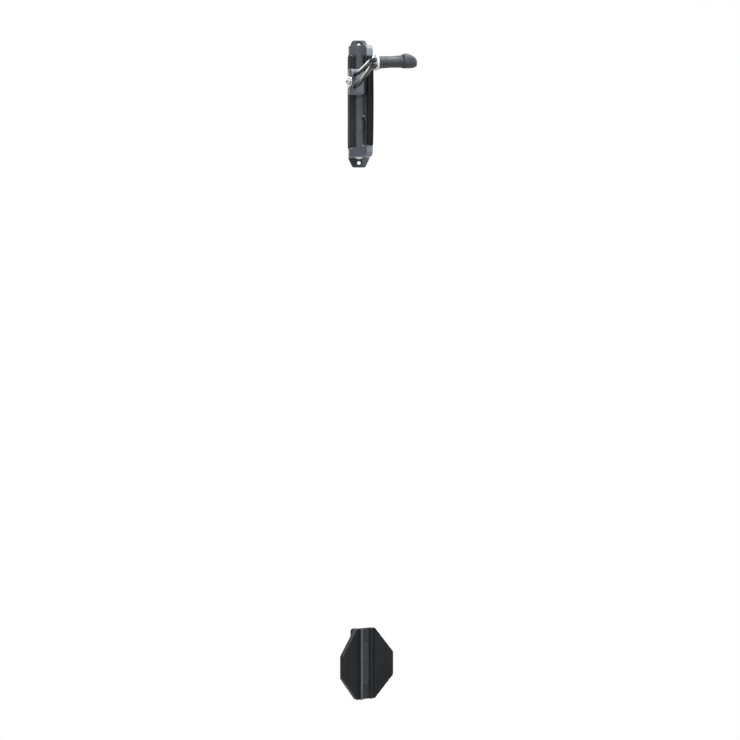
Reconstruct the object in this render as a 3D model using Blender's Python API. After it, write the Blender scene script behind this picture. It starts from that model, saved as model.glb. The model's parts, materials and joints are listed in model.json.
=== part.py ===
"""Swing-up bike wall mount: a hinged wheel hook and, below it, a swivelling rear-wheel rest.

Frame: X to the right along the wall, Y into the wall, Z up. The origin is the middle of the
back face of the upper wall plate. Both units screw to the wall on their own, one above the
other. The upper one carries a yoke that swings about a vertical shaft and holds the hook; the
lower one carries an eight-sided cradle that swivels about a vertical pin. Pieces that move are
modelled in the frame of their own axis: X outward from the axis, Y across, Z up.
"""
import math

import bmesh
import bpy
from mathutils import Matrix, Vector

MM = 0.001
GAP = 0.3 * MM                     # air between two pieces that touch

# Upper wall plate
PLATE_HEIGHT = 250 * MM
PLATE_WIDTH = 42 * MM
PLATE_THICKNESS = 5 * MM
EAR_WIDTH = 25.5 * MM              # across the narrow end of each ear
EAR_LENGTH = 18 * MM               # over which the ear widens to the plate
EAR_HOLE_RADIUS = 3.5 * MM
EAR_HOLE_INSET = 9 * MM            # hole centre from the plate's end

# Column: the fixed moulded post that the yoke swings around
AXIS_DEPTH = 45 * MM               # swing axis in front of the wall
COLUMN_HEIGHT = 176 * MM
COLUMN_HALF_WIDTH = 22 * MM
COLUMN_FRONT_HALF_WIDTH = 8 * MM
COLUMN_FRONT = 21.5 * MM           # front flat in front of the axis
COLUMN_SHOULDER = (17.5 * MM, 15 * MM)   # facet corner: across, in front of the axis
COLUMN_SIDE_FRONT = 7 * MM         # side wall ends this far in front of the axis
INLAY_SIZE = (15 * MM, 168 * MM, 2 * MM)
CORE_DEPTH = 20 * MM               # pockets in the column's back
COLUMN_SCREW_HEIGHTS = (-44 * MM, 44 * MM)
COLUMN_SCREW_RADIUS = 2.1 * MM
COLUMN_SCREW_LENGTH = 24 * MM

# Swing axis: shaft and bushes
SHAFT_RADIUS = 6 * MM
BUSH_RADIUS = 9 * MM
BUSH_LENGTH = 14 * MM
BUSH_FLANGE_RADIUS = 16 * MM
BUSH_FLANGE = 2.4 * MM

# Yoke: two arms and a slotted double rail
ARM_THICKNESS = 17 * MM
ARM_RADIUS = 21 * MM
WEB_CLEARANCE_RADIUS = 24.2 * MM   # hollow that passes round the column's corners
WEB_CORNER = (21 * MM, 14 * MM)    # from the axis, across
WEB_OUTER = 30.5 * MM
RAIL_INNER = 41 * MM
RAIL_OUTER = 47 * MM
RAIL_HALF_WIDTH = 6.8 * MM
YOKE_CORNER = 11 * MM
PIVOT_SINK = 4 * MM                # recess for the washer in each arm's outer face
SLOT_RIB = 4.5 * MM
SLOT_RIB_HEIGHTS = (-33 * MM, 33 * MM)
TYRE_PAD_THICKNESS = (2.4 * MM, 4.6 * MM)   # at its ends, half way up
TYRE_PAD_HEIGHT = 172 * MM

# Hook: one steel rod bent as a hairpin, with a sleeve and a lipped tip
ROD_RADIUS = 4 * MM
ROD_OFFSET = -31 * MM              # across, where the rods leave the clamp
ROD_START = 31 * MM
ROD_START_HEIGHTS = (47 * MM, 22 * MM)
ROD_KINK = 62 * MM
HOOK_REACH = 158 * MM              # hook centre line from the swing axis
HOOK_ROOT = -53 * MM               # along the hook, from the plane of the tyre pad
HOOK_END = 31 * MM
HOOK_HEIGHT = 64.5 * MM
HOOK_TILT = math.radians(4.7)      # up toward the tip
HOOK_ROD_SPREAD = 5.5 * MM         # each rod above and below the hook's centre line
HOOK_BEND = 8 * MM
COLLAR_SPAN = (-46.5 * MM, -42.5 * MM)   # plate that ties the two rods, along the hook
COLLAR_SIZE = (25 * MM, 30 * MM)
SLEEVE_RADIUS = 11.7 * MM
SLEEVE_START = COLLAR_SPAN[1] + GAP
TIP_START = 10 * MM
TIP_END = 40 * MM
# Knob sections: share of its length, top and bottom from the centre line, half width, in mm
TIP_SECTIONS = ((0, 11.5, -11.5, 11.5), (0.08, 13.2, -12.5, 12.6), (0.2, 14.3, -13.1, 13.2),
                (0.36, 14.5, -13.4, 13.4), (0.52, 13.4, -13.4, 13), (0.68, 11.4, -13.3, 12.2),
                (0.82, 8.8, -12.9, 11), (0.92, 6.4, -12.1, 9.6), (0.98, 4.4, -11.1, 8.4),
                (1, 3.2, -10.2, 7.4))
TIP_SQUARENESS = 2.5               # exponent of each section's rounded outline

# Clamp that grips the rods to the yoke's lug
LUG_SPAN = (30 * MM, 46 * MM)
LUG_HEIGHTS = (10 * MM, 60 * MM)
CLAMP_THICKNESS = 8 * MM
CLAMP_BOLT_RADIUS = 3 * MM

# Wheel rest
REST_HEIGHT = -1100 * MM           # rest centre, below the upper plate's centre
REST_AXIS_DEPTH = 40 * MM
CRADLE_TOP = 69.5 * MM
CRADLE_HALF_WIDTH = 61 * MM
CRADLE_END_HALF_WIDTH = 21.5 * MM
CRADLE_UPPER_SLANT = 50 * MM       # height of the long upper chamfers
CRADLE_LOWER_SLANT = 45 * MM
RIDGE_FACE = 28 * MM               # in front of the swivel axis
CHANNEL_FACE = 21.6 * MM
CHANNEL_HALF_WIDTH = 8.5 * MM
RIDGE_HALF_WIDTHS = (10.5 * MM, 12.5 * MM)
WING_ROOT = (22 * MM, 17 * MM)   # in front of the axis, across
WING_TIP_FACE = 31 * MM
WING_THICKNESS = 4 * MM
SKIRT_DEPTH = 6 * MM               # rim behind the wings
SKIRT_THICKNESS = 3 * MM
FLUTE_PITCH = 8.4 * MM
FLUTE_COUNT = 5
FLUTE_HEIGHT = 1.1 * MM
FLUTE_HALF_WIDTH = 3.1 * MM
REST_PAD_SIZE = (14 * MM, 88 * MM)
REST_PAD_POCKET = 2 * MM
RIB_HEIGHTS = (-22 * MM, 22 * MM)  # ribs that carry the wings from the barrel
RIB_THICKNESS = 3.5 * MM
RIB_REACH = 50 * MM
BASE_SIZE = (34 * MM, 124 * MM)
BASE_THICKNESS = 5 * MM
BASE_HOLE_HEIGHT = 55 * MM
BASE_LUG = (36 * MM, 48 * MM)      # heights of the hinge lugs, above and below the centre
BASE_LUG_RADIUS = 11 * MM
PIN_RADIUS = 4 * MM
BARREL_RADIUS = 12 * MM
BARREL_HALF_HEIGHT = 33.5 * MM

# Angles of the two moving units at rest, from straight out of the wall toward the right
SWING_REST = math.radians(27)
REST_TURN = math.radians(36)

ROUND = 32                         # facets round a large turned piece
SMALL_ROUND = 20
UPRIGHT = Matrix.Rotation(math.pi / 2, 4, "X")          # outline in XZ, thickness along -Y
FACING = Matrix(((0, 0, 1, 0), (1, 0, 0, 0), (0, 1, 0, 0), (0, 0, 0, 1)))   # outline in YZ


def clear_scene():
    for item in list(bpy.data.objects):
        bpy.data.objects.remove(item, do_unlink=True)


def material(name, colour, roughness, metallic=0.0):
    finish = bpy.data.materials.new(name)
    finish.use_nodes = True
    shader = finish.node_tree.nodes["Principled BSDF"]
    shader.inputs["Base Color"].default_value = (*colour, 1.0)
    shader.inputs["Roughness"].default_value = roughness
    shader.inputs["Metallic"].default_value = metallic
    return finish


def place(name, mesh_builder, matrix, parent=None, finish=None):
    """Makes a named object from a bmesh, moved by a matrix, with its normals outward."""
    mesh_builder.transform(matrix)
    bmesh.ops.recalc_face_normals(mesh_builder, faces=mesh_builder.faces)
    if mesh_builder.calc_volume(signed=True) < 0:
        bmesh.ops.reverse_faces(mesh_builder, faces=mesh_builder.faces)
    mesh = bpy.data.meshes.new(name)
    mesh_builder.to_mesh(mesh)
    mesh_builder.free()
    mesh.shade_smooth()
    mesh.set_sharp_from_angle(angle=math.radians(35))
    item = bpy.data.objects.new(name, mesh)
    bpy.context.collection.objects.link(item)
    item.parent = parent
    if finish:
        mesh.materials.append(finish)
    return item


def rounded(corners, steps=5):
    """Outline through (x, y, radius) corners, each rounded by an arc tangent to both sides."""
    outline = []
    count = len(corners)
    for index, (x, y, radius) in enumerate(corners):
        here = Vector((x, y))
        before = (Vector(corners[index - 1][:2]) - here).normalized()
        after = (Vector(corners[(index + 1) % count][:2]) - here).normalized()
        if radius == 0:
            outline.append(here)
            continue
        half = before.angle(after) / 2
        centre = here + (before + after).normalized() * (radius / math.sin(half))
        start = here + before * (radius / math.tan(half)) - centre
        sweep = start.angle_signed(here + after * (radius / math.tan(half)) - centre)
        for step in range(steps + 1):
            turned_by = Matrix.Rotation(-sweep * step / steps, 2)
            outline.append(centre + turned_by @ start)
    return outline


def mirrored(half_outline):
    """Closed outline from its right half, listed top to bottom, as (x, y, radius) corners."""
    left = [(-x, y, radius) for x, y, radius in reversed(half_outline)]
    return half_outline + left


def prism(name, outline, low, high, matrix=Matrix(), parent=None, finish=None):
    """A flat outline extruded from one height to another."""
    shape = bmesh.new()
    corners = [shape.verts.new((point[0], point[1], low)) for point in outline]
    face = shape.faces.new(corners)
    grown = bmesh.ops.extrude_face_region(shape, geom=[face])
    moved = [item for item in grown["geom"] if isinstance(item, bmesh.types.BMVert)]
    bmesh.ops.translate(shape, verts=moved, vec=(0, 0, high - low))
    return place(name, shape, matrix, parent, finish)


def turned(name, profile, facets, matrix=Matrix(), parent=None, finish=None):
    """A closed (radius, height) profile spun about Z; points on the axis are merged."""
    shape = bmesh.new()
    points = [shape.verts.new((radius, 0, height)) for radius, height in profile]
    on_axis = profile[0][0] == 0 and profile[-1][0] == 0
    links = list(zip(points, points[1:]))
    if not on_axis:
        links.append((points[-1], points[0]))
    edges = [shape.edges.new(link) for link in links]
    bmesh.ops.spin(shape, geom=points + edges, axis=(0, 0, 1), cent=(0, 0, 0),
                   angle=2 * math.pi, steps=facets, use_merge=True)
    bmesh.ops.remove_doubles(shape, verts=shape.verts, dist=1e-6)
    return place(name, shape, matrix, parent, finish)


def skinned(name, rings, parent=None, finish=None):
    """A closed body through rings of equal length, capped at both ends."""
    shape = bmesh.new()
    loops = [[shape.verts.new(point) for point in ring] for ring in rings]
    for lower, upper in zip(loops, loops[1:]):
        for index in range(len(lower)):
            following = (index + 1) % len(lower)
            shape.faces.new((lower[index], lower[following], upper[following], upper[index]))
    shape.faces.new(loops[0])
    shape.faces.new(loops[-1])
    return place(name, shape, Matrix(), parent, finish)


def bent_path(corners, steps=6):
    """Centre line through (point, bend radius) corners, with an arc at each bend."""
    path = [Vector(corners[0][0])]
    for index in range(1, len(corners) - 1):
        here = Vector(corners[index][0])
        radius = corners[index][1]
        before = (Vector(corners[index - 1][0]) - here).normalized()
        after = (Vector(corners[index + 1][0]) - here).normalized()
        half = before.angle(after) / 2
        reach = radius / math.tan(half)
        centre = here + (before + after).normalized() * (radius / math.sin(half))
        start = here + before * reach - centre
        end = here + after * reach - centre
        turn = start.rotation_difference(end)
        for step in range(steps + 1):
            part = turn.copy()
            part.angle = turn.angle * step / steps
            path.append(centre + part @ start)
    path.append(Vector(corners[-1][0]))
    return path


def rod(name, path, radius, sides=12, parent=None, finish=None):
    """A round rod along a path, its section carried without twist."""
    heading = (path[1] - path[0]).normalized()
    across = heading.orthogonal().normalized()
    rings = []
    for index, point in enumerate(path):
        ahead = path[min(index + 1, len(path) - 1)] - path[max(index - 1, 0)]
        turn = heading.rotation_difference(ahead.normalized())
        across = turn @ across
        heading = ahead.normalized()
        up = heading.cross(across)
        angles = [2 * math.pi * step / sides for step in range(sides)]
        rings.append([point + radius * (math.cos(a) * across + math.sin(a) * up) for a in angles])
    return skinned(name, rings, parent, finish)


def combine(piece, operation, tools):
    """Adds one exact Boolean per tool, and hides the tool as a guide."""
    for tool in tools:
        step = piece.modifiers.new(f"{operation.lower()} {tool.name}", "BOOLEAN")
        step.operation = operation
        step.solver = "EXACT"
        step.object = tool
        tool.hide_render = True
        tool.display_type = "WIRE"


def soften(piece, width, segments=2, angle=40):
    """Rounds the sharp edges of a piece."""
    edge = piece.modifiers.new("edge rounding", "BEVEL")
    edge.width = width
    edge.segments = segments
    edge.limit_method = "ANGLE"
    edge.angle_limit = math.radians(angle)


def box(name, low, high, parent=None):
    outline = [(low[0], low[1]), (high[0], low[1]), (high[0], high[1]), (low[0], high[1])]
    return prism(name, outline, low[2], high[2], Matrix(), parent)


def countersunk_hole(name, matrix, radius, depth, parent=None):
    """Cutter for a hole along -Y from its wide mouth at the matrix's origin."""
    wide = radius * 1.9
    profile = [(0, -MM), (wide, -MM), (wide, 0), (radius, wide - radius), (radius, depth),
               (0, depth)]
    return turned(name, profile, SMALL_ROUND, matrix @ UPRIGHT, parent)


def build_column_screws(finish):
    """Countersunk screws from behind the plate into the column, heads just under its back."""
    radius = COLUMN_SCREW_RADIUS
    wide = radius * 1.8
    length = COLUMN_SCREW_LENGTH
    profile = [(0, GAP), (wide, GAP), (radius, GAP + wide - radius), (radius, length), (0, length)]
    for name, height in zip(("column_screw_lower", "column_screw_upper"), COLUMN_SCREW_HEIGHTS):
        turned(name, profile, SMALL_ROUND, Matrix.Translation((0, 0, height)) @ UPRIGHT,
               finish=finish)


def build_wall_plate(finish):
    """Flat plate with two tapered ears, each with one countersunk wall hole."""
    top = PLATE_HEIGHT / 2
    half = PLATE_WIDTH / 2
    corners = [(EAR_WIDTH / 2, top, 6.5 * MM), (half, top - EAR_LENGTH, 12 * MM),
               (half, EAR_LENGTH - top, 12 * MM), (EAR_WIDTH / 2, -top, 5 * MM)]
    plate = prism("wall_plate", rounded(mirrored(corners)), 0, PLATE_THICKNESS, UPRIGHT,
                  finish=finish)
    soften(plate, 1.0 * MM)
    cutters = []
    for index, height in enumerate((top - EAR_HOLE_INSET, EAR_HOLE_INSET - top)):
        mouth = Matrix.Translation((0, -PLATE_THICKNESS, height)) @ Matrix.Rotation(math.pi, 4, "Z")
        cutters.append(countersunk_hole(f"cut_ear_hole_{index}", mouth, EAR_HOLE_RADIUS, 8 * MM))
    for index, height in enumerate(COLUMN_SCREW_HEIGHTS):
        mouth = Matrix.Translation((0, 0, height))
        cutters.append(countersunk_hole(f"cut_plate_screw_{index}", mouth,
                                        COLUMN_SCREW_RADIUS + GAP, 8 * MM))
    combine(plate, "DIFFERENCE", cutters)
    return plate


def build_column(finish):
    """Faceted hollow-backed post, bored for the shaft and its bushes, with an inlay recess."""
    back = -PLATE_THICKNESS - GAP
    top = COLUMN_HEIGHT / 2
    side = -AXIS_DEPTH - COLUMN_SIDE_FRONT
    shoulder = -AXIS_DEPTH - COLUMN_SHOULDER[1]
    front = -AXIS_DEPTH - COLUMN_FRONT
    half = [(COLUMN_HALF_WIDTH, back, 0), (COLUMN_HALF_WIDTH, side, 3 * MM),
            (COLUMN_SHOULDER[0], shoulder, 2 * MM), (COLUMN_FRONT_HALF_WIDTH, front, 1.5 * MM)]
    column = prism("pivot_column", rounded(mirrored(half), 3), -top, top, finish=finish)
    bore = SHAFT_RADIUS + 3 * GAP
    socket = BUSH_RADIUS + GAP
    floor = top - BUSH_LENGTH - GAP
    profile = [(0, -top - MM), (socket, -top - MM), (socket, -floor), (bore, -floor),
               (bore, floor), (socket, floor), (socket, top + MM), (0, top + MM)]
    axis = Matrix.Translation((0, -AXIS_DEPTH, 0))
    cutters = [turned("cut_shaft_bore", profile, ROUND, axis)]
    wide, tall, deep = INLAY_SIZE
    recess = rounded_rectangle(wide + 2 * GAP, tall + 2 * GAP, 3 * MM)
    cutters.append(prism("cut_inlay_recess", recess, -front - deep, -front + MM, UPRIGHT))
    for index, height in enumerate((-68 * MM, -22 * MM, 22 * MM, 68 * MM)):
        low = (-16 * MM, back - CORE_DEPTH, height - 14 * MM)
        high = (16 * MM, back + MM, height + 14 * MM)
        cutters.append(box(f"cut_core_{index}", low, high))
    for index, height in enumerate(COLUMN_SCREW_HEIGHTS):
        bore = COLUMN_SCREW_RADIUS + GAP
        end = COLUMN_SCREW_LENGTH - PLATE_THICKNESS + MM
        hole = [(0, -MM), (bore, -MM), (bore, end), (0, end)]
        mouth = Matrix.Translation((0, back, height)) @ UPRIGHT
        cutters.append(turned(f"cut_column_screw_{index}", hole, SMALL_ROUND, mouth))
    combine(column, "DIFFERENCE", cutters)
    return column


def rounded_rectangle(width, height, radius, centre=(0, 0), steps=4):
    x = width / 2
    y = height / 2
    corners = [(centre[0] + x, centre[1] + y, radius), (centre[0] + x, centre[1] - y, radius),
               (centre[0] - x, centre[1] - y, radius), (centre[0] - x, centre[1] + y, radius)]
    return rounded(corners, steps)


def build_inlay(finish):
    """Bare strip let into the column's front."""
    wide, tall, deep = INLAY_SIZE
    face = AXIS_DEPTH + COLUMN_FRONT - GAP
    strip = prism("front_inlay", rounded_rectangle(wide, tall, 2.8 * MM), face - deep + 2 * GAP,
                  face, UPRIGHT, finish=finish)
    return strip


def build_bush(name, end, finish):
    """Flanged plain bush for one end of the column; end is 1 at the top, -1 at the bottom."""
    inner = SHAFT_RADIUS + GAP
    seat = COLUMN_HEIGHT / 2 + GAP
    profile = [(inner, seat - BUSH_LENGTH), (BUSH_RADIUS, seat - BUSH_LENGTH), (BUSH_RADIUS, seat),
               (BUSH_FLANGE_RADIUS, seat), (BUSH_FLANGE_RADIUS, seat + BUSH_FLANGE),
               (inner, seat + BUSH_FLANGE)]
    profile = [(radius, end * height) for radius, height in profile]
    return turned(name, profile, ROUND, Matrix.Translation((0, -AXIS_DEPTH, 0)), finish=finish)


def arm_base():
    """Height of each yoke arm's inner face above the centre."""
    return COLUMN_HEIGHT / 2 + BUSH_FLANGE + 2 * GAP


def arm_top():
    return arm_base() + ARM_THICKNESS


def build_yoke(axis, wire_cutter, finish):
    """C-shaped yoke: side outline and plan intersected, hollowed round the column, slotted."""
    top = arm_top()
    side = [(-ARM_RADIUS - MM, top, 0), (RAIL_OUTER, top, YOKE_CORNER),
            (RAIL_OUTER, -top, YOKE_CORNER), (-ARM_RADIUS - MM, -top, 0)]
    yoke = prism("swing_yoke", rounded(side), -ARM_RADIUS - MM, ARM_RADIUS + MM, UPRIGHT, axis,
                 finish)
    arm_end = [(math.cos(angle) * ARM_RADIUS, math.sin(angle) * ARM_RADIUS)
               for angle in (math.radians(75 + 210 * step / 22) for step in range(23))]
    web, half_web = WEB_CORNER
    neck = [(web, -half_web, 3 * MM), (RAIL_INNER - 3 * MM, -RAIL_HALF_WIDTH, 14 * MM),
            (RAIL_OUTER + MM, -RAIL_HALF_WIDTH, 2 * MM), (RAIL_OUTER + MM, RAIL_HALF_WIDTH, 2 * MM),
            (RAIL_INNER - 3 * MM, RAIL_HALF_WIDTH, 14 * MM), (web, half_web, 3 * MM)]
    ring = [(x, y, 0) for x, y in arm_end] + neck
    plan = prism("guide_yoke_plan", rounded(ring, 4), -top - MM, top + MM, Matrix(), axis)
    combine(yoke, "INTERSECT", [plan])
    soften(yoke, 1.2 * MM)
    combine(yoke, "UNION", [build_lug(axis)])
    combine(yoke, "DIFFERENCE", yoke_cutters(axis) + [wire_cutter])
    return yoke


def build_lug(axis):
    """Block on the rail's side that carries the two rods."""
    middle = (sum(LUG_SPAN) / 2, sum(LUG_HEIGHTS) / 2)
    outline = rounded_rectangle(LUG_SPAN[1] - LUG_SPAN[0] - 3 * MM,
                                LUG_HEIGHTS[1] - LUG_HEIGHTS[0], 5 * MM, middle)
    lug = prism("guide_rod_lug", outline, RAIL_HALF_WIDTH - 4 * MM, -ROD_OFFSET, UPRIGHT, axis)
    soften(lug, 0.8 * MM)
    return lug


def yoke_cutters(axis):
    """Shaft bore, the hollow between the arms, the rail's three slots, the clamp bolt hole."""
    top = arm_top()
    bore = SHAFT_RADIUS + GAP
    sink = 12.5 * MM
    floor = top - PIVOT_SINK
    profile = [(0, -top - MM), (sink, -top - MM), (sink, -floor), (bore, -floor),
               (bore, floor), (sink, floor), (sink, top + MM), (0, top + MM)]
    cutters = [turned("cut_yoke_bore", profile, ROUND, Matrix(), axis)]
    hollow = [(0, -arm_base()), (WEB_CLEARANCE_RADIUS, -arm_base()),
              (WEB_CLEARANCE_RADIUS, arm_base()), (0, arm_base())]
    cutters.append(turned("cut_yoke_hollow", hollow, 2 * ROUND, Matrix(), axis))
    ends = arm_base() - 3 * MM
    edges = [-ends, *(height + side * SLOT_RIB / 2 for height in SLOT_RIB_HEIGHTS
                      for side in (-1, 1)), ends]
    for index in range(0, len(edges), 2):
        low, high = edges[index], edges[index + 1]
        outline = rounded_rectangle(RAIL_INNER - WEB_OUTER, high - low, 3.5 * MM,
                                    ((RAIL_INNER + WEB_OUTER) / 2, (low + high) / 2))
        cutters.append(prism(f"cut_rail_slot_{index // 2}", outline, -20 * MM, 20 * MM, UPRIGHT,
                             axis))
    cutters.append(bolt_hole("cut_lug_bolt", axis, 20 * MM))
    return cutters


def bolt_place():
    """Clamp bolt axis: outward and up from the swing axis."""
    return sum(LUG_SPAN) / 2, sum(LUG_HEIGHTS) / 2


def bolt_hole(name, axis, start):
    x, z = bolt_place()
    hole = [(0, start), (CLAMP_BOLT_RADIUS + GAP, start), (CLAMP_BOLT_RADIUS + GAP, 60 * MM),
            (0, 60 * MM)]
    return turned(name, hole, SMALL_ROUND, Matrix.Translation((x, 0, z)) @ UPRIGHT, axis)


def build_clamp(axis, wire_cutter, finish):
    """Outer half of the rod clamp, grooved for both rods."""
    middle = bolt_place()
    outline = rounded_rectangle(LUG_SPAN[1] - LUG_SPAN[0], LUG_HEIGHTS[1] - LUG_HEIGHTS[0],
                                6 * MM, middle)
    start = -ROD_OFFSET + GAP
    clamp = prism("rod_clamp", outline, start, start + CLAMP_THICKNESS, UPRIGHT, axis, finish)
    soften(clamp, 1.5 * MM)
    combine(clamp, "DIFFERENCE", [wire_cutter, bolt_hole("cut_clamp_bolt", axis, 20 * MM)])
    return clamp


def build_clamp_fasteners(axis, finish):
    """Button-head bolt through the clamp into the lug, with its wide washer."""
    x, z = bolt_place()
    seat = -ROD_OFFSET + GAP + CLAMP_THICKNESS + GAP
    place_matrix = Matrix.Translation((x, 0, z)) @ UPRIGHT
    inner = CLAMP_BOLT_RADIUS + GAP
    ring = [(inner, seat), (10.5 * MM, seat), (11 * MM, seat + 0.5 * MM),
            (11 * MM, seat + 1.5 * MM), (10.5 * MM, seat + 2 * MM), (inner, seat + 2 * MM)]
    turned("clamp_washer", ring, ROUND, place_matrix, axis, finish)
    base = seat + 2 * MM + GAP
    head = [(0, 22 * MM), (CLAMP_BOLT_RADIUS, 22 * MM), (CLAMP_BOLT_RADIUS, base),
            (7 * MM, base), (6.4 * MM, base + 2.4 * MM), (4.6 * MM, base + 4 * MM),
            (0, base + 4.4 * MM)]
    turned("clamp_bolt", head, SMALL_ROUND, place_matrix, axis, finish)


def build_shaft(axis, finish):
    """Swing shaft, fixed in both arms, drilled at its ends for the retaining screws."""
    end = arm_top() - PIVOT_SINK
    drill = 3.4 * MM
    shaft = turned("pivot_shaft", [(0, -end), (SHAFT_RADIUS, -end), (SHAFT_RADIUS, end), (0, end)],
                   ROUND, Matrix(), axis, finish)
    cutters = []
    for side in (-1, 1):
        hole = [(0, side * (end + MM)), (drill, side * (end + MM)), (drill, side * (end - 18 * MM)),
                (0, side * (end - 18 * MM))]
        cutters.append(turned(f"cut_shaft_end_{side}", hole, SMALL_ROUND, Matrix(), axis))
    combine(shaft, "DIFFERENCE", cutters)
    return shaft


def build_shaft_fasteners(axis, finish):
    """Washer and button-head screw at each end of the shaft."""
    seat = arm_top() - PIVOT_SINK + GAP
    washer = [(3.4 * MM, seat), (12 * MM, seat), (12 * MM, seat + 2 * MM), (3.4 * MM, seat + 2 * MM)]
    base = seat + 2 * MM + GAP
    screw = [(0, seat - 14 * MM), (3 * MM, seat - 14 * MM), (3 * MM, base), (7.5 * MM, base),
             (7 * MM, base + 2 * MM), (5 * MM, base + 3.4 * MM), (0, base + 3.8 * MM)]
    for end, side in (("upper", 1), ("lower", -1)):
        turned(f"pivot_washer_{end}", [(r, side * h) for r, h in washer], ROUND, Matrix(), axis,
               finish)
        turned(f"pivot_screw_{end}", [(r, side * h) for r, h in screw], SMALL_ROUND, Matrix(),
               axis, finish)


def build_tyre_pad(axis, finish):
    """Rubber strip on the rail's outer face, with a shallow trough and bowed out half way up."""
    back = RAIL_OUTER + GAP
    thin, thick = TYRE_PAD_THICKNESS
    half = RAIL_HALF_WIDTH - 0.5 * MM
    rings = []
    steps = 12
    for step in range(steps + 1):
        share = 2 * step / steps - 1
        crest = back + thick - (thick - thin) * share ** 2
        trough = [(crest - 1.4 * MM * math.cos(math.pi * part / 8) ** 2, (half - MM) * part / 4)
                  for part in range(-4, 5)]
        outline = [(back, half), (back, -half), (crest - 0.8 * MM, -half), *trough,
                   (crest - 0.8 * MM, half)]
        rings.append([(x, y, share * TYRE_PAD_HEIGHT / 2) for x, y in outline])
    return skinned("tyre_rest_pad", rings, axis, finish)


def hook_frame():
    """Frame of the hook's centre line: Y toward the tip, origin in the tyre pad's plane."""
    return (Matrix.Translation((HOOK_REACH, 0, HOOK_HEIGHT))
            @ Matrix.Rotation(HOOK_TILT, 4, "X"))


def hook_path(start):
    """Hairpin centre line: out along the upper rod, through the hook, back along the lower."""
    frame = hook_frame()
    ends, kinks, roots, tips = [], [], [], []
    for begin, side in zip(ROD_START_HEIGHTS, (1, -1)):
        root = frame @ Vector((0, HOOK_ROOT, side * HOOK_ROD_SPREAD))
        slope = (root.z - begin) / (HOOK_REACH - ROD_START)
        ends.append((start, ROD_OFFSET, begin + slope * (start - ROD_START)))
        kinks.append((ROD_KINK, ROD_OFFSET, begin + slope * (ROD_KINK - ROD_START)))
        roots.append(root)
        tips.append(frame @ Vector((0, HOOK_END, side * HOOK_ROD_SPREAD)))
    turn = HOOK_ROD_SPREAD - 0.2 * MM
    return bent_path([(ends[0], 0), (kinks[0], 40 * MM), (roots[0], HOOK_BEND), (tips[0], turn),
                      (tips[1], turn), (roots[1], HOOK_BEND), (kinks[1], 40 * MM), (ends[1], 0)])


def build_collar(axis, wire_cutter, finish):
    """Oval plate round both rods at the root of the hook; the sleeve butts against it."""
    outline = rounded_rectangle(*COLLAR_SIZE, COLLAR_SIZE[0] / 2 - 0.5 * MM, steps=8)
    collar = prism("hook_collar", outline, -COLLAR_SPAN[1], -COLLAR_SPAN[0],
                   hook_frame() @ UPRIGHT, axis, finish)
    soften(collar, 0.7 * MM)
    combine(collar, "DIFFERENCE", [wire_cutter])
    return collar


def build_sleeve(axis, wire_cutter, finish):
    """Soft sleeve turned about the hook's centre line: flange, waisted seat, plain end."""
    length = TIP_START - SLEEVE_START - GAP
    profile = [(0, 0), (SLEEVE_RADIUS - 1 * MM, 0), (SLEEVE_RADIUS + 1 * MM, 1.5 * MM),
               (SLEEVE_RADIUS + 1 * MM, 4 * MM), (SLEEVE_RADIUS, 6 * MM)]
    for step in range(1, 8):
        along = 6 * MM + (length - 8 * MM) * step / 8
        dip = 0.6 * MM * math.sin(math.pi * step / 8)
        profile.append((SLEEVE_RADIUS - dip, along))
    profile += [(SLEEVE_RADIUS, length - 2 * MM), (SLEEVE_RADIUS, length), (0, length)]
    lie = hook_frame() @ Matrix.Translation((0, SLEEVE_START, 0))
    along_hook = Matrix.Rotation(-math.pi / 2, 4, "X")
    sleeve = turned("hook_sleeve", profile, ROUND, lie @ along_hook, axis, finish)
    combine(sleeve, "DIFFERENCE", [wire_cutter])
    return sleeve


def build_tip(axis, wire_cutter, finish):
    """End knob: flat-bottomed sections that rise fast behind the sleeve and fall to the end."""
    frame = hook_frame()
    rings = []
    for share, top, bottom, half in TIP_SECTIONS:
        along = TIP_START + (TIP_END - TIP_START) * share
        ring = []
        for facet in range(ROUND):
            angle = 2 * math.pi * facet / ROUND
            across, rise = (math.copysign(abs(part) ** (2 / TIP_SQUARENESS), part)
                            for part in (math.cos(angle), math.sin(angle)))
            height = (top + bottom) / 2 + rise * (top - bottom) / 2
            ring.append(frame @ Vector((across * half * MM, along, height * MM)))
        rings.append(ring)
    tip = skinned("hook_tip", rings, axis, finish)
    combine(tip, "DIFFERENCE", [wire_cutter])
    return tip


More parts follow.
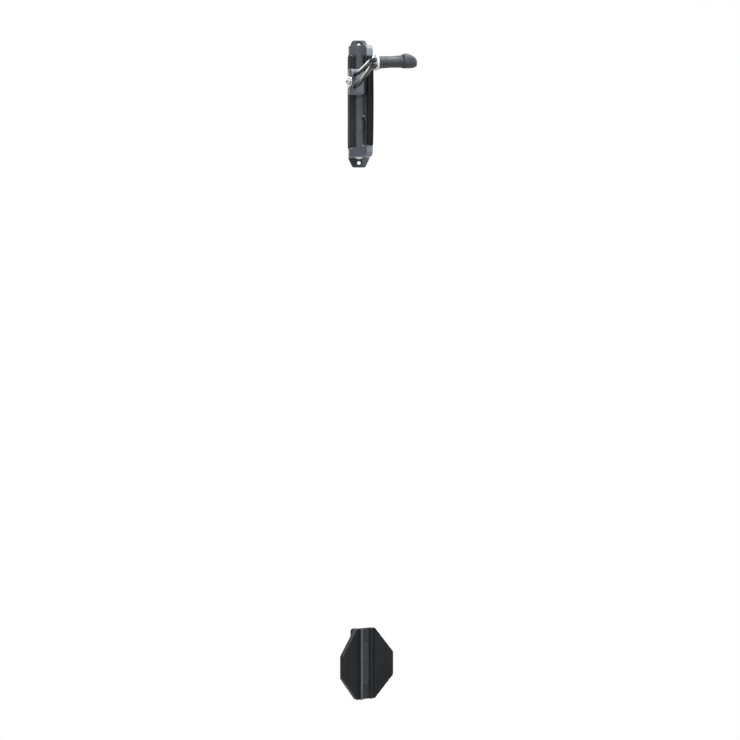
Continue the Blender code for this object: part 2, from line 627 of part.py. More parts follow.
def build_rest_base(finish):
    """Small wall plate with two hinge lugs for the swivel pin."""
    shift = Matrix.Translation((0, 0, REST_HEIGHT))
    base = prism("rest_base", rounded_rectangle(*BASE_SIZE, 6 * MM), 0, BASE_THICKNESS,
                 shift @ UPRIGHT, finish=finish)
    soften(base, 1.0 * MM)
    lugs = []
    half = BASE_SIZE[0] / 2 - 3 * MM
    arc = [(BASE_LUG_RADIUS * math.cos(angle), -REST_AXIS_DEPTH - BASE_LUG_RADIUS * math.sin(angle))
           for angle in (math.pi * step / 12 for step in range(13))]
    plan = [(half, -MM), *arc, (-half, -MM)]
    for side in (-1, 1):
        low, high = sorted((side * BASE_LUG[0], side * BASE_LUG[1]))
        lug = prism(f"guide_base_lug_{side}", plan, low, high, shift)
        soften(lug, 1.0 * MM)
        lugs.append(lug)
    combine(base, "UNION", lugs)
    far = 70 * MM
    pin = turned("cut_base_pin", [(0, -far), (PIN_RADIUS + GAP, -far), (PIN_RADIUS + GAP, far),
                                  (0, far)], SMALL_ROUND,
                 shift @ Matrix.Translation((0, -REST_AXIS_DEPTH, 0)))
    holes = []
    for side in (-1, 1):
        mouth = shift @ Matrix.Translation((0, -BASE_THICKNESS, side * BASE_HOLE_HEIGHT))
        mouth = mouth @ Matrix.Rotation(math.pi, 4, "Z")
        holes.append(countersunk_hole(f"cut_base_hole_{side}", mouth, 2.8 * MM, 8 * MM))
    combine(base, "DIFFERENCE", [pin, *holes])
    return base


def wing_face(across):
    """How far the wing's face is in front of the swivel axis."""
    root_face, root = WING_ROOT
    share = (across - root) / (CRADLE_HALF_WIDTH - root)
    return root_face + (WING_TIP_FACE - root_face) * share


def cradle_plan():
    """Section of the cradle's shell: channel, two ridges, and fluted wings that sweep forward."""
    root_face, root = WING_ROOT
    front = [(CHANNEL_FACE, CHANNEL_HALF_WIDTH), (RIDGE_FACE - MM, RIDGE_HALF_WIDTHS[0] - 0.3 * MM),
             (RIDGE_FACE, RIDGE_HALF_WIDTHS[0] + 0.6 * MM),
             (RIDGE_FACE - 0.6 * MM, RIDGE_HALF_WIDTHS[1]), (root_face, root)]
    slope = FLUTE_HEIGHT
    for index in range(FLUTE_COUNT):
        middle = root + (index + 0.7) * FLUTE_PITCH
        for offset, rise in ((-FLUTE_HALF_WIDTH - slope, 0), (-FLUTE_HALF_WIDTH, FLUTE_HEIGHT),
                             (FLUTE_HALF_WIDTH, FLUTE_HEIGHT), (FLUTE_HALF_WIDTH + slope, 0)):
            front.append((wing_face(middle + offset) + rise, middle + offset))
    edge = CRADLE_HALF_WIDTH + MM
    front.append((wing_face(edge), edge))
    back = [(wing_face(edge) - WING_THICKNESS, edge), (root_face - WING_THICKNESS, root + MM),
            (CHANNEL_FACE - WING_THICKNESS, CHANNEL_HALF_WIDTH)]
    return both_sides(front + back)


def both_sides(right):
    """Closed plan outline, symmetric across the axis, from its right half."""
    return right + [(x, -y) for x, y in reversed(right)]


def skirt_plan():
    """Plan region of the rim that runs round behind the wings."""
    root_face, root = WING_ROOT
    edge = CRADLE_HALF_WIDTH + MM
    front = WING_THICKNESS / 2
    back = WING_THICKNESS + SKIRT_DEPTH
    return both_sides([(root_face - front, root), (wing_face(edge) - front, edge),
                       (wing_face(edge) - back, edge), (root_face - back, root)])


def cradle_outline(inset=0.0):
    """Eight-sided outline, with longer chamfers above than below."""
    half = CRADLE_HALF_WIDTH - inset
    end = CRADLE_END_HALF_WIDTH - inset * 0.6
    top = CRADLE_TOP - inset
    corners = [(end, top, 3 * MM), (half, CRADLE_TOP - CRADLE_UPPER_SLANT, 4 * MM),
               (half, CRADLE_LOWER_SLANT - CRADLE_TOP, 4 * MM), (end, -top, 3 * MM)]
    return rounded(mirrored(corners), 3)


def build_cradle(axis, finish):
    """Fluted shell cut to the eight-sided outline, with a rim, ribs and the hinge barrel behind."""
    far = 80 * MM
    cradle = prism("rest_cradle", cradle_plan(), -far, far, Matrix(), axis, finish)
    blank = prism("guide_cradle_outline", cradle_outline(), 5 * MM, 40 * MM, FACING, axis)
    combine(cradle, "INTERSECT", [blank])
    combine(cradle, "UNION", [build_skirt(axis), build_barrel(axis), *build_wing_ribs(axis)])
    inner = PIN_RADIUS + 2.5 * MM + GAP
    far = BARREL_HALF_HEIGHT + MM
    bore = turned("cut_barrel_bore", [(0, -far), (inner, -far), (inner, far), (0, far)],
                  SMALL_ROUND, Matrix(), axis)
    wide, tall = REST_PAD_SIZE
    pocket = rounded_rectangle(wide + 2 * GAP, tall + 2 * GAP, wide / 2)
    seat = prism("cut_rest_pad_seat", pocket, CHANNEL_FACE - REST_PAD_POCKET, 40 * MM, FACING, axis)
    combine(cradle, "DIFFERENCE", [bore, seat])
    return cradle


def build_skirt(axis):
    """Rim that follows the eight-sided outline behind the wings."""
    far = 80 * MM
    inset = 0.4 * MM
    skirt = prism("guide_cradle_skirt", skirt_plan(), -far, far, Matrix(), axis)
    outer = prism("guide_skirt_outline", cradle_outline(inset), 5 * MM, 40 * MM, FACING, axis)
    hollow = prism("cut_skirt_inside", cradle_outline(inset + SKIRT_THICKNESS), 3 * MM, 42 * MM,
                   FACING, axis)
    combine(skirt, "INTERSECT", [outer])
    combine(skirt, "DIFFERENCE", [hollow])
    return skirt


def build_barrel(axis):
    """Hinge barrel, blended forward into the back of the channel."""
    plan = [(BARREL_RADIUS * math.cos(angle), BARREL_RADIUS * math.sin(angle))
            for angle in (math.radians(70 + 220 * step / 20) for step in range(21))]
    plan += [(CHANNEL_FACE - 2 * MM, -15 * MM), (CHANNEL_FACE - 2 * MM, 15 * MM)]
    return prism("guide_cradle_barrel", plan, -BARREL_HALF_HEIGHT, BARREL_HALF_HEIGHT, Matrix(),
                 axis)


def build_wing_ribs(axis):
    """Level ribs that taper from the barrel out to both wings."""
    reach = wing_face(RIB_REACH) - WING_THICKNESS / 2
    plan = both_sides([(CHANNEL_FACE - 2 * MM, 4 * MM), (WING_ROOT[0] - 2 * MM, WING_ROOT[1]),
                       (reach, RIB_REACH), (2 * MM, BARREL_RADIUS - 3 * MM)])
    return [prism(f"guide_wing_rib_{index}", plan, height - RIB_THICKNESS / 2,
                  height + RIB_THICKNESS / 2, Matrix(), axis)
            for index, height in enumerate(RIB_HEIGHTS)]


def build_rest_pad(axis, finish):
    """Rubber insert with round ends, let into the channel floor and standing a little proud."""
    wide, tall = REST_PAD_SIZE
    pad = prism("rest_pad", rounded_rectangle(wide, tall, wide / 2 - 0.1 * MM),
                CHANNEL_FACE - REST_PAD_POCKET + GAP, CHANNEL_FACE + 1.2 * MM, FACING, axis,
                finish)
    soften(pad, 0.6 * MM)
    return pad


def build_rest_hinge(axis, metal, plastic):
    """Swivel pin with its head and clip, fixed in the base, and two bushes in the barrel."""
    lug_top = BASE_LUG[1] + GAP
    tail = -BASE_LUG[1] - 5 * MM
    pin = [(0, tail), (PIN_RADIUS - 0.6 * MM, tail), (PIN_RADIUS, tail + 0.6 * MM),
           (PIN_RADIUS, lug_top), (7 * MM, lug_top), (7 * MM, lug_top + 2.5 * MM),
           (5.5 * MM, lug_top + 4 * MM), (0, lug_top + 4 * MM)]
    shift = Matrix.Translation((0, -REST_AXIS_DEPTH, REST_HEIGHT))
    turned("rest_pin", pin, SMALL_ROUND, shift, finish=metal)
    clip = -BASE_LUG[1] - GAP
    inner = PIN_RADIUS + GAP
    ring = [(inner, clip - 1.4 * MM), (7 * MM, clip - 1.4 * MM), (7 * MM, clip), (inner, clip)]
    turned("rest_pin_clip", ring, SMALL_ROUND, shift, finish=metal)
    outer = PIN_RADIUS + 2.5 * MM
    seat = BARREL_HALF_HEIGHT + GAP
    flange = BASE_LUG[0] - seat - GAP
    for name, side in (("rest_upper_bush", 1), ("rest_lower_bush", -1)):
        profile = [(inner, seat - 12 * MM), (outer, seat - 12 * MM), (outer, seat),
                   (10.5 * MM, seat), (10.5 * MM, seat + flange), (inner, seat + flange)]
        turned(name, [(r, side * h) for r, h in profile], SMALL_ROUND, Matrix(), axis, plastic)


def axis_empty(name, depth, height, turn):
    """Empty on a vertical joint axis, its X axis pointing outward at the rest angle."""
    pivot = bpy.data.objects.new(name, None)
    bpy.context.collection.objects.link(pivot)
    pivot.location = (0, -depth, height)
    pivot.rotation_euler = (0, 0, turn - math.pi / 2)
    return pivot


def main():
    clear_scene()
    grey = material("cast aluminium, charcoal paint", (0.125, 0.13, 0.137), 0.45)
    black = material("black nylon", (0.022, 0.023, 0.025), 0.5)
    gloss = material("gloss black inlay", (0.012, 0.012, 0.013), 0.18)
    zinc = material("zinc-plated steel", (0.62, 0.62, 0.6), 0.32, 1.0)
    rod_black = material("black painted steel rod", (0.02, 0.02, 0.022), 0.3)
    rubber = material("black rubber", (0.06, 0.062, 0.066), 0.75)
    acetal = material("natural acetal", (0.75, 0.75, 0.72), 0.4)
    swing = axis_empty("swing_axis", AXIS_DEPTH, 0, SWING_REST)
    turn = axis_empty("rest_axis", REST_AXIS_DEPTH, REST_HEIGHT, REST_TURN)
    wire_cutter = rod("cut_wire", hook_path(ROD_START - 8 * MM), ROD_RADIUS + GAP, 12, swing)

    build_wall_plate(grey)
    build_column(black)
    build_inlay(gloss)
    build_column_screws(zinc)
    build_bush("upper_bush", 1, acetal)
    build_bush("lower_bush", -1, acetal)

    build_yoke(swing, wire_cutter, grey)
    build_shaft(swing, zinc)
    build_shaft_fasteners(swing, zinc)
    build_tyre_pad(swing, rubber)
    rod("hook_wire", hook_path(ROD_START), ROD_RADIUS, 12, swing, rod_black)
    build_clamp(swing, wire_cutter, grey)
    build_clamp_fasteners(swing, zinc)
    build_collar(swing, wire_cutter, zinc)
    build_sleeve(swing, wire_cutter, rubber)
    build_tip(swing, wire_cutter, rubber)

    build_rest_base(black)
    build_rest_hinge(turn, zinc, acetal)
    build_cradle(turn, black)
    build_rest_pad(turn, rubber)


main()
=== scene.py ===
"""Looks of a swing-up bike wall mount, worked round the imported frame.

Frame: metres, X to the right along the wall, Y into the wall, Z up, origin in the middle of the
upper plate's back. Pieces that swing or swivel are worked out in the frame of their own vertical
axis: outward from the axis, across, and up.
"""
import json
import math

import bmesh
import bpy
import numpy as np
from mathutils import Matrix, Vector


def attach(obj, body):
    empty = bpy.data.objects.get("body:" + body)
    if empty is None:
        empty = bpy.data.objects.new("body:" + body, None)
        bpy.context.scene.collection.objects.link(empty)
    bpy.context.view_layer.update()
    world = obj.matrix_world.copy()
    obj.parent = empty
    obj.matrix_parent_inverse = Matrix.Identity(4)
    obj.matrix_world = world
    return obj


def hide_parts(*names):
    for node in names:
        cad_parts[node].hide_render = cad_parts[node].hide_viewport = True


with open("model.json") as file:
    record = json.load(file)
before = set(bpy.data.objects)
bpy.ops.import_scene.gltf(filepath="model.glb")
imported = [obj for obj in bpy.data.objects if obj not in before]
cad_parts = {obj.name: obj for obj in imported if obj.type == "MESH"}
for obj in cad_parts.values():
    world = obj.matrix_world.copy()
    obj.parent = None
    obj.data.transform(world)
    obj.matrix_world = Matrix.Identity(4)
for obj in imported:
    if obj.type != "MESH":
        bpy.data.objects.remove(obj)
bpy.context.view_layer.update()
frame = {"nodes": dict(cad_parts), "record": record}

MM = 0.001
# A Mix node's sockets share their names, so its colour sockets go by number
SHARE, FIRST_COLOUR, SECOND_COLOUR, MIXED_COLOUR = 0, 6, 7, 2
BEHAVIOUR = frame["record"]["behaviour"]
BODY_OF = {node: body for body, nodes in BEHAVIOUR["bodies"].items() for node in nodes}
SLOT_OF = {row["node"]: row["material_slot"] for row in frame["record"]["subparts"]}
AXIS_OF = {row["child"]: row["pos_m"] for row in BEHAVIOUR["joints"]}

# How the solids stand at rest: degrees to the right of straight out
SWING_TURN = 27
REST_TURN = 36

# Dimensions of the solids, in mm
GAP = 0.3                       # air between two pieces that touch
COLUMN_HALF_HEIGHT = 88
BUSH_FLANGE = 2.4
ARM_THICKNESS = 17
PIVOT_SINK = 4                  # recess for the washer in each arm's outer face
WASHER_THICKNESS = 2
COLUMN_SCREW_HEIGHT = 44        # above and below the middle
RAIL_OUTER = 47                 # front of the rail, from the swing axis
RAIL_HALF_WIDTH = 6.8
CLAMP_BOLT_PLACE = (38, 35)     # outward from the swing axis, and up
CLAMP_THICKNESS = 8
ROD_RADIUS = 4
ROD_OFFSET = -31                # across, where the rods leave the clamp
ROD_START = 31                  # outward, where the rods begin
ROD_START_HEIGHTS = (47, 22)
ROD_KINK = 62
HOOK_REACH = 158                # hook's centre line from the swing axis
HOOK_HEIGHT = 64.5
HOOK_RISE = 4.7                 # degrees
HOOK_ROOT = -53                 # along the hook, from the plane of the tyre pad
HOOK_END = 31
HOOK_ROD_SPREAD = 5.5           # each rod above and below the hook's centre line
SLEEVE_SPAN = (-42.2, 9.7)      # along the hook
TIP_START = 10
TIP_LENGTH = 30


def unit_frame(body, turn):
    """From a moving unit's own frame to the world; turn is its angle from straight out."""
    return Matrix.Translation(AXIS_OF[body]) @ Matrix.Rotation(math.radians(turn - 90), 4, "Z")


SWING = unit_frame("swing_arm", SWING_TURN)
REST = unit_frame("wheel_rest", REST_TURN)
# Along the hook: Y toward its tip, rising a little, from the plane of the tyre pad
HOOK = (SWING @ Matrix.Translation((HOOK_REACH * MM, 0, HOOK_HEIGHT * MM))
        @ Matrix.Rotation(math.radians(HOOK_RISE), 4, "X"))
ALONG_HOOK = HOOK @ Matrix.Rotation(-math.pi / 2, 4, "X")


def linear(hex_colour):
    """sRGB hex to linear RGBA."""
    parts = [int(hex_colour[start:start + 2], 16) / 255 for start in (1, 3, 5)]
    return [*(p / 12.92 if p <= 0.04045 else ((p + 0.055) / 1.055) ** 2.4 for p in parts), 1.0]


def add(tree, kind, sockets=None, **settings):
    """Adds a node: settings are its properties, sockets its input values or links."""
    made = tree.nodes.new(kind)
    for name, value in settings.items():
        setattr(made, name, value)
    for name, value in (sockets or {}).items():
        if isinstance(value, bpy.types.NodeSocket):
            tree.links.new(value, made.inputs[name])
        else:
            made.inputs[name].default_value = value
    return made


def surface_material(name, dark, light, patch, roughness, grain, depth, metallic=0.0, worn=None,
                     scuffs=None, **fixed):
    """A finish with slow mottling between two colours over patch mm and a grain of grain mm.

    roughness is a range that follows the mottling, and depth is how deep the grain's bump is in
    mm. worn is (colour, radius in mm, strength): edges rounder than the surface beside them, found
    by comparing the normal with one averaged over that radius, rub through to that colour in
    patches. scuffs is (colour, strength): sparse fine streaks of it. fixed holds the constant
    sockets of the shader.
    """
    finish = bpy.data.materials.new(name)
    finish.use_nodes = True
    tree = finish.node_tree
    shader = tree.nodes["Principled BSDF"]
    place = add(tree, "ShaderNodeTexCoord").outputs["Object"]
    mottle = add(tree, "ShaderNodeTexNoise", {"Vector": place, "Scale": 1 / (patch * MM),
                                              "Detail": 4.0, "Roughness": 0.6}).outputs["Fac"]
    share = add(tree, "ShaderNodeMapRange", {"Value": mottle, "From Min": 0.3,
                                             "From Max": 0.7}).outputs["Result"]
    rough = add(tree, "ShaderNodeMapRange", {"Value": share, "To Min": roughness[0],
                                             "To Max": roughness[1]}).outputs["Result"]
    colour = add(tree, "ShaderNodeMix", {SHARE: share, FIRST_COLOUR: linear(dark),
                                         SECOND_COLOUR: linear(light)}, data_type="RGBA")
    if scuffs:
        marks = scuff_marks(tree, place, scuffs[1])
        colour = add(tree, "ShaderNodeMix", {SHARE: marks, FIRST_COLOUR: colour.outputs[MIXED_COLOUR],
                                             SECOND_COLOUR: linear(scuffs[0])}, data_type="RGBA")
        rough = add(tree, "ShaderNodeMath", {0: rough, 1: marks}, operation="ADD").outputs[0]
    if worn:
        rubbed = rubbed_edges(tree, place, worn[1], worn[2])
        colour = add(tree, "ShaderNodeMix", {SHARE: rubbed, FIRST_COLOUR: colour.outputs[MIXED_COLOUR],
                                             SECOND_COLOUR: linear(worn[0])}, data_type="RGBA")
    tree.links.new(colour.outputs[MIXED_COLOUR], shader.inputs["Base Color"])
    tree.links.new(rough, shader.inputs["Roughness"])
    grit = add(tree, "ShaderNodeTexNoise", {"Vector": place, "Scale": 1 / (grain * MM),
                                            "Detail": 2.0, "Roughness": 0.6})
    bump = add(tree, "ShaderNodeBump", {"Height": grit.outputs["Fac"], "Distance": depth * MM,
                                        "Strength": 1.0})
    tree.links.new(bump.outputs["Normal"], shader.inputs["Normal"])
    shader.inputs["Metallic"].default_value = metallic
    for socket, value in fixed.items():
        shader.inputs[socket.replace("_", " ")].default_value = value
    return finish


def rubbed_edges(tree, place, radius, strength):
    """Share of rubbed paint: high on outer edges, broken up by a noise of 3 mm."""
    here = add(tree, "ShaderNodeNewGeometry").outputs["Normal"]
    averaged = add(tree, "ShaderNodeBevel", {"Radius": radius * MM}, samples=6).outputs["Normal"]
    alike = add(tree, "ShaderNodeVectorMath", {0: here, 1: averaged}, operation="DOT_PRODUCT")
    edge = add(tree, "ShaderNodeMapRange", {"Value": alike.outputs["Value"], "From Min": 0.995,
                                            "From Max": 0.9, "To Max": strength})
    noise = add(tree, "ShaderNodeTexNoise", {"Vector": place, "Scale": 1 / (3 * MM), "Detail": 3.0})
    patchy = add(tree, "ShaderNodeMapRange", {"Value": noise.outputs["Fac"], "From Min": 0.4,
                                              "From Max": 0.62, "To Min": 0.25})
    return add(tree, "ShaderNodeMath", {0: edge.outputs["Result"], 1: patchy.outputs["Result"]},
               operation="MULTIPLY").outputs[0]


def scuff_marks(tree, place, strength):
    """Share of sparse streaks about 0.4 by 8 mm, along a slant, gathered in patches of 30 mm."""
    lie = add(tree, "ShaderNodeMapping", {"Vector": place, "Rotation": (0.5, 0.4, 0.3),
                                          "Scale": (2.5 / MM, 2.5 / MM, 0.12 / MM)})
    fine = add(tree, "ShaderNodeTexNoise", {"Vector": lie.outputs["Vector"], "Scale": 1.0,
                                            "Detail": 1.0})
    streaks = add(tree, "ShaderNodeMapRange", {"Value": fine.outputs["Fac"], "From Min": 0.62,
                                               "From Max": 0.72, "To Max": strength})
    broad = add(tree, "ShaderNodeTexNoise", {"Vector": place, "Scale": 1 / (30 * MM), "Detail": 1.0})
    gathered = add(tree, "ShaderNodeMapRange", {"Value": broad.outputs["Fac"], "From Min": 0.45,
                                                "From Max": 0.65})
    return add(tree, "ShaderNodeMath", {0: streaks.outputs["Result"], 1: gathered.outputs["Result"]},
               operation="MULTIPLY").outputs[0]


def unit_place(tree, unit):
    """Place on a moving unit in mm: outward from its axis, across, and up."""
    place = add(tree, "ShaderNodeTexCoord").outputs["Object"]
    lie = unit.inverted()
    return add(tree, "ShaderNodeMapping", {"Vector": place, "Location": lie.translation / MM,
                                           "Rotation": lie.to_euler(),
                                           "Scale": (1 / MM,) * 3}).outputs["Vector"]


def paint_rail_shade(finish, dark):
    """Paints shade onto a finish on the yoke's rail: the darker colour stands in for the shade and
    dark reflection that the bike's tyre, left out of the scene, gives there. Darkens a finish on
    the yoke's rail, to the photograph's tone; its cause isn't known.

    The share rises to 1 from 29 to 32 mm out from the axis, ends within 84 to 90 mm of the middle
    height, where the arms begin, and is kept off the clamp's lug: it falls to 0 from 11 to 12.5 mm
    across, and the neck there is less than 11 mm to either side.
    """
    tree = finish.node_tree
    shader = tree.nodes["Principled BSDF"]
    parts = add(tree, "ShaderNodeSeparateXYZ", {"Vector": unit_place(tree, SWING)})
    share = add(tree, "ShaderNodeMapRange", {"Value": parts.outputs["X"], "From Min": 29,
                                             "From Max": 32}).outputs["Result"]
    for side, clear, full in (("Y", 12.5, 11), ("Z", 90, 84)):
        away = add(tree, "ShaderNodeMath", {0: parts.outputs[side]}, operation="ABSOLUTE")
        within = add(tree, "ShaderNodeMapRange", {"Value": away.outputs[0], "From Min": clear,
                                                  "From Max": full}).outputs["Result"]
        share = add(tree, "ShaderNodeMath", {0: share, 1: within}, operation="MULTIPLY").outputs[0]
    # painted shade: the rail's own colour mixed toward the darker shade colour
    colour = add(tree, "ShaderNodeMix", {
        SHARE: share, FIRST_COLOUR: shader.inputs["Base Color"].links[0].from_socket,
        SECOND_COLOUR: linear(dark)}, data_type="RGBA").outputs[MIXED_COLOUR]
    tree.links.new(colour, shader.inputs["Base Color"])
    return finish


def grey_channel_and_paint_crest_highlight(finish, floor, crest):
    """Greys a finish in the rest's channel and paints a highlight on the crest of the ridge beside it.

    The share is 1 within 10 mm of the cradle's middle plane and falls to 0 over 3 mm more, broken
    up by a noise drawn out along the channel. The crest of the ridge to the left, 12 mm from that
    plane, gets a painted highlight: it is paler over 2.4 mm each way. Faces that look back to the
    wall keep their own colour, where the outward part of the normal falls to 0, and so does the
    barrel, which is less than 16 mm from the axis.
    """
    tree = finish.node_tree
    shader = tree.nodes["Principled BSDF"]
    found = add(tree, "ShaderNodeTexCoord")
    outward = add(tree, "ShaderNodeVectorMath", {0: found.outputs["Normal"], 1: REST.col[0].xyz},
                  operation="DOT_PRODUCT").outputs["Value"]
    outward = add(tree, "ShaderNodeMapRange", {"Value": outward, "From Min": 0.0,
                                               "From Max": 0.15}).outputs["Result"]
    local = unit_place(tree, REST)
    parts = add(tree, "ShaderNodeSeparateXYZ", {"Vector": local})
    across = parts.outputs["Y"]
    beyond = add(tree, "ShaderNodeMapRange", {"Value": parts.outputs["X"], "From Min": 15,
                                              "From Max": 17}).outputs["Result"]
    outward = add(tree, "ShaderNodeMath", {0: outward, 1: beyond}, operation="MULTIPLY").outputs[0]
    drawn = add(tree, "ShaderNodeMapping", {"Vector": local, "Scale": (0.5, 0.5, 0.04)})
    uneven = add(tree, "ShaderNodeTexNoise", {"Vector": drawn.outputs["Vector"], "Scale": 1.0,
                                              "Detail": 4.0}).outputs["Fac"]
    patchy = add(tree, "ShaderNodeMapRange", {"Value": uneven, "From Min": 0.25, "From Max": 0.6,
                                              "To Min": 0.45}).outputs["Result"]
    patchy = add(tree, "ShaderNodeMath", {0: patchy, 1: outward}, operation="MULTIPLY").outputs[0]
    colour = shader.inputs["Base Color"].links[0].from_socket
    # the first entry greys the channel; the second paints a highlight on the left ridge's crest
    for middle, half, soft, pale in ((0, 10, 3, floor), (-12, 1.2, 1.2, crest)):
        away = add(tree, "ShaderNodeMath", {0: across, 1: middle}, operation="SUBTRACT").outputs[0]
        away = add(tree, "ShaderNodeMath", {0: away}, operation="ABSOLUTE").outputs[0]
        near = add(tree, "ShaderNodeMapRange", {"Value": away, "From Min": half + soft,
                                                "From Max": half}).outputs["Result"]
        share = add(tree, "ShaderNodeMath", {0: near, 1: patchy}, operation="MULTIPLY").outputs[0]
        colour = add(tree, "ShaderNodeMix", {SHARE: share, FIRST_COLOUR: colour,
                                             SECOND_COLOUR: linear(pale)},
                     data_type="RGBA").outputs[MIXED_COLOUR]
    tree.links.new(colour, shader.inputs["Base Color"])
    return finish


def make_materials():
    """One finish for each material slot of the record, and those of the yoke, grip and cradle."""
    cast_coat = ("#565b62", "#666b73", 22, (0.32, 0.46), 2.0, 0.22)
    cast_wear = {"worn": ("#8b8f94", 1.4, 0.7), "scuffs": ("#72767b", 0.35),
                 "Specular_IOR_Level": 0.22}
    return {
        # Powder coat on steel plate: satin charcoal with a fine orange peel, rubbed at its edges
        "charcoal_paint": surface_material(
            "charcoal_powder_coat_on_steel", "#303236", "#3a3d42", 30, (0.34, 0.46), 1.6, 0.12,
            worn=("#5c5f63", 0.7, 0.6), scuffs=("#4a4d50", 0.35), Specular_IOR_Level=0.4),
        # The same coat on cast aluminium: the casting's skin gives a coarser peel
        "cast_aluminium": surface_material(
            "powder_coat_on_cast_aluminium", *cast_coat, **cast_wear),
        # The same coat on the yoke, with painted shade on the rail between its arms
        "yoke": paint_rail_shade(surface_material(
            "powder_coat_on_cast_yoke_with_painted_rail_shade", *cast_coat, **cast_wear), dark="#1f2226"),
        # Glass-filled nylon from a spark-eroded mould: near-black, dull grain, paler at its edges
        "black_nylon": surface_material(
            "spark_grained_black_nylon", "#2a2c30", "#34373c", 40, (0.42, 0.56), 1.2, 0.18,
            worn=("#43464a", 0.6, 0.6), scuffs=("#3c3f43", 0.5), Specular_IOR_Level=0.13),
        # The same nylon on the cradle, greyer along the channel, with a painted highlight on the crest
        # of its left ridge
        "cradle": grey_channel_and_paint_crest_highlight(surface_material(
            "black_nylon_with_grey_channel_and_painted_crest_highlight", "#0c0d0f", "#131416", 40, (0.4, 0.54), 1.2, 0.18,
            worn=("#3d3f42", 0.8, 0.7), scuffs=("#232528", 0.5), Specular_IOR_Level=0.16),
            floor="#2b2d32", crest="#5a5d62"),
        # ABS strip from a polished mould: flat and glossier than the column
        "inlay_gloss": surface_material(
            "polished_black_abs_strip", "#1d1e21", "#232529", 60, (0.18, 0.26), 8, 0.01,
            scuffs=("#34363a", 0.3), Specular_IOR_Level=0.45),
        # Powder-coated round rod: smoother black with a soft shine
        "black_rod": surface_material(
            "black_powder_coated_steel_rod", "#121315", "#1a1b1e", 18, (0.22, 0.34), 1.4, 0.06,
            scuffs=("#3c3e41", 0.4), Specular_IOR_Level=0.55),
        # Zinc plate, clear passivated: bright, bluish, slightly clouded
        "zinc_steel": surface_material(
            "clear_passivated_zinc_plate", "#aeb1b5", "#cbcccd", 7, (0.22, 0.4), 1.0, 0.02,
            metallic=1.0, scuffs=("#8f9194", 0.5)),
        # EPDM rubber from a blasted mould: matt black, greyer at its edges
        "rubber": surface_material(
            "moulded_epdm_rubber", "#0d0e11", "#141519", 14, (0.58, 0.75), 1.1, 0.16,
            worn=("#333436", 0.6, 0.7), scuffs=("#2e2f30", 0.5), Specular_IOR_Level=0.08),
        # The same rubber as if dusted by a rolling tyre, its ribs paler than its grooves
        "tread_rubber": surface_material(
            "tyre_dusted_epdm_rubber", "#26282c", "#313337", 10, (0.6, 0.8), 1.1, 0.16,
            worn=("#4c4d4f", 0.5, 0.7), scuffs=("#454648", 0.5), Specular_IOR_Level=0.2),
        # Thermoplastic elastomer moulded over the rod: dark grey and soft to the touch
        "grip": surface_material(
            "overmoulded_thermoplastic_elastomer", "#212428", "#2d3035", 9, (0.46, 0.62), 0.9, 0.12,
            worn=("#3e4145", 0.7, 0.6), scuffs=("#3c3e42", 0.5), Specular_IOR_Level=0.28,
            Sheen_Weight=0.15, Sheen_Roughness=0.4),
        # Natural acetal, turned: milky white with a waxy shine
        "acetal": surface_material(
            "turned_natural_acetal", "#dcdbd4", "#e6e5df", 20, (0.3, 0.4), 1.5, 0.02,
            Subsurface_Weight=0.1, Subsurface_Scale=2 * MM),
    }


def dressed(node, rounding, finish):
    """The solid's own shape with merged faces, smooth shading and its edges broken.

    The CAD mesh is loose triangles, so a copy is merged first; a bevel of rounding mm then gives
    the edges the small radius that moulding, casting or paint leaves.
    """
    piece = bpy.data.objects.new(f"{node}_body", frame["nodes"][node].data.copy())
    bpy.context.collection.objects.link(piece)
    shape = bmesh.new()
    shape.from_mesh(piece.data)
    bmesh.ops.remove_doubles(shape, verts=shape.verts, dist=0.002 * MM)
    bmesh.ops.dissolve_limit(shape, angle_limit=math.radians(0.3), verts=shape.verts,
                             edges=shape.edges)
    shape.to_mesh(piece.data)
    shape.free()
    piece.data.shade_smooth()
    piece.data.set_sharp_from_angle(angle=math.radians(32))
    if rounding:
        edge = piece.modifiers.new("broken edges", "BEVEL")
        edge.width = rounding * MM
        edge.segments = 2
        edge.limit_method = "ANGLE"
        edge.angle_limit = math.radians(32)
        edge.use_clamp_overlap = True
        edge.harden_normals = True
    piece.data.materials.clear()
    piece.data.materials.append(finish)
    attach(piece, BODY_OF[node])
    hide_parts(node)
    return piece


def make_piece(node, rings, matrix, finish, closed=False, sharp=32):
    """A closed body through rings of points in mm, and it stands in for the named solid.

    Neighbouring rings are joined by quads. The first and last rings are closed by a fan to their
    middle, or joined to each other when closed is set.
    """
    rings = np.asarray(rings, dtype=float)
    count, sides = rings.shape[:2]
    points = rings.reshape(-1, 3)
    around = np.arange(sides)
    onward = np.roll(around, -1)
    faces = []
    for step in range(count if closed else count - 1):
        here, there = step * sides, ((step + 1) % count) * sides
        faces += np.stack([here + around, here + onward, there + onward, there + around], 1).tolist()
    if not closed:
        middles = np.array([rings[0].mean(axis=0), rings[-1].mean(axis=0)])
        points = np.vstack([points, middles])
        for start, middle in ((0, count * sides), ((count - 1) * sides, count * sides + 1)):
            ends = (start + onward, start + around) if start == 0 else (start + around, start + onward)
            faces += np.stack([ends[0], ends[1], np.full(sides, middle)], 1).tolist()
    turn = np.array(matrix.to_3x3())
    points = points * MM @ turn.T + np.array(matrix.translation)
    mesh = bpy.data.meshes.new(node)
    mesh.from_pydata(points.tolist(), [], faces)
    shape = bmesh.new()
    shape.from_mesh(mesh)
    if shape.calc_volume(signed=True) < 0:
        bmesh.ops.reverse_faces(shape, faces=shape.faces)
    shape.to_mesh(mesh)
    shape.free()
    mesh.shade_smooth()
    mesh.set_sharp_from_angle(angle=math.radians(sharp))
    piece = bpy.data.objects.new(f"{node}_body", mesh)
    bpy.context.collection.objects.link(piece)
    piece.data.materials.append(finish)
    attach(piece, BODY_OF[node])
    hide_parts(node)
    return piece


